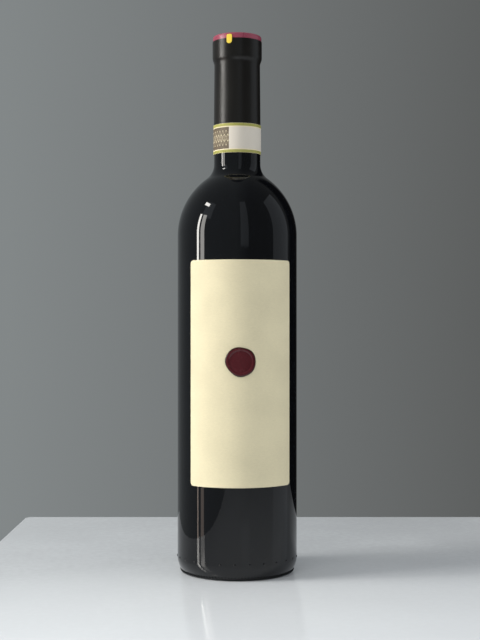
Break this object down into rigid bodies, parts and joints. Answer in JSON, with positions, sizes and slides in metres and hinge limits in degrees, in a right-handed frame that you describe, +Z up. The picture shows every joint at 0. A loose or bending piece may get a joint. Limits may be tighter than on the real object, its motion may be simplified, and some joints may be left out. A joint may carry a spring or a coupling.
{
  "type": "wine bottle",
  "caption": "Sealed tall dark glass wine bottle with a black capsule and red top, a paper neck strip, a bare cream label and a plain wax seal.",
  "frame": {"origin": "centre of the foot, on the surface that the bottle stands on", "axes": "+Z up along the bottle's axis, -Y towards the front where the label is centred, +X to the right as seen from the front"},
  "size_m": [0.073, 0.074, 0.3263],
  "materials": {
    "dark_glass": "smooth dark olive glass, opaque with the wine behind it",
    "capsule_black": "satin black shrink film",
    "capsule_red": "satin wine-red disc",
    "tape_yellow": "yellow-gold tear tape",
    "strip_paper": "printed uncoated paper in brown, cream and yellow-green",
    "label_paper": "cream felt-marked uncoated paper",
    "wax": "dark wine-red sealing wax, softly glossy"
  },
  "bodies": {
    "root": {"glass_bottle": "dark_glass", "capsule_sleeve": "capsule_black", "capsule_disc": "capsule_red", "tear_tab": "tape_yellow", "neck_strip": "strip_paper", "front_label": "label_paper", "wax_seal": "wax"}
  },
  "joints": []
}
